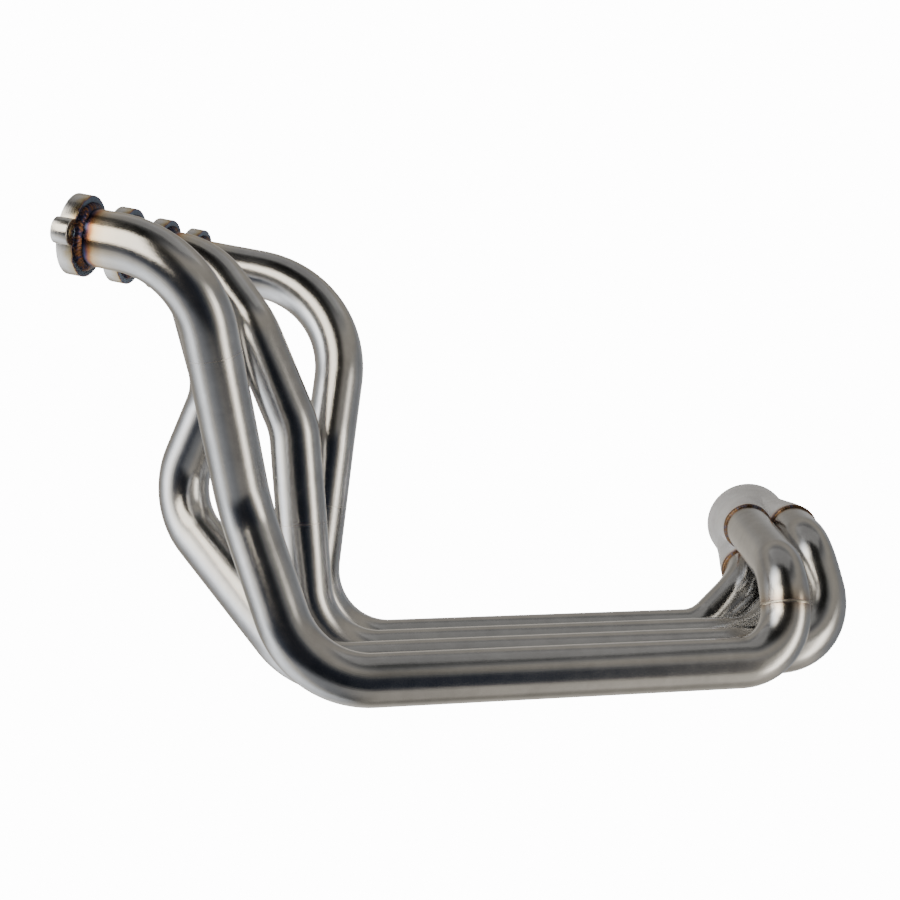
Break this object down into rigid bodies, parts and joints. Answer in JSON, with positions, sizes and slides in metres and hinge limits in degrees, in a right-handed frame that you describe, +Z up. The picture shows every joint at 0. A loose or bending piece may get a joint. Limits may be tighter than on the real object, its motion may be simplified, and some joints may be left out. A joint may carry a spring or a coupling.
{
  "type": "exhaust manifold",
  "caption": "Tubular stainless exhaust manifold that leads separate head ports through bent tubes to one round collector outlet.",
  "frame": {"origin": "middle of the base of the whole part, with the ground run of the tubes resting on Z = 0", "axes": "+X is the level direction in which the gas leaves the head, +Y runs along the row of ports from the first to the last, +Z is up"},
  "size_m": [0.5849, 0.5412, 0.3765],
  "materials": {
    "machined_steel": "machined",
    "heat_tinted_weld": "heat tinted weld",
    "tube_steel": "satin, brushed along the tube",
    "weld_bead": "weld bead, lightly tinted",
    "collector_sheet": "satin"
  },
  "bodies": {
    "root": {"port_flange_1": "machined_steel", "port_flange_2": "machined_steel", "port_flange_3": "machined_steel", "port_flange_4": "machined_steel", "flange_weld_1": "heat_tinted_weld", "flange_weld_2": "heat_tinted_weld", "flange_weld_3": "heat_tinted_weld", "flange_weld_4": "heat_tinted_weld", "tube_upper_1": "tube_steel", "tube_upper_2": "tube_steel", "tube_upper_3": "tube_steel", "tube_upper_4": "tube_steel", "tube_lower_1": "tube_steel", "tube_lower_2": "tube_steel", "tube_lower_3": "tube_steel", "tube_lower_4": "tube_steel", "joint_weld_1": "weld_bead", "joint_weld_2": "weld_bead", "joint_weld_3": "weld_bead", "joint_weld_4": "weld_bead", "collector_elbow": "tube_steel", "elbow_weld": "weld_bead", "collector_weld_1": "weld_bead", "collector_weld_2": "weld_bead", "collector_weld_3": "weld_bead", "collector_weld_4": "weld_bead", "collector": "collector_sheet", "cluster_plug": "collector_sheet"}
  },
  "joints": []
}
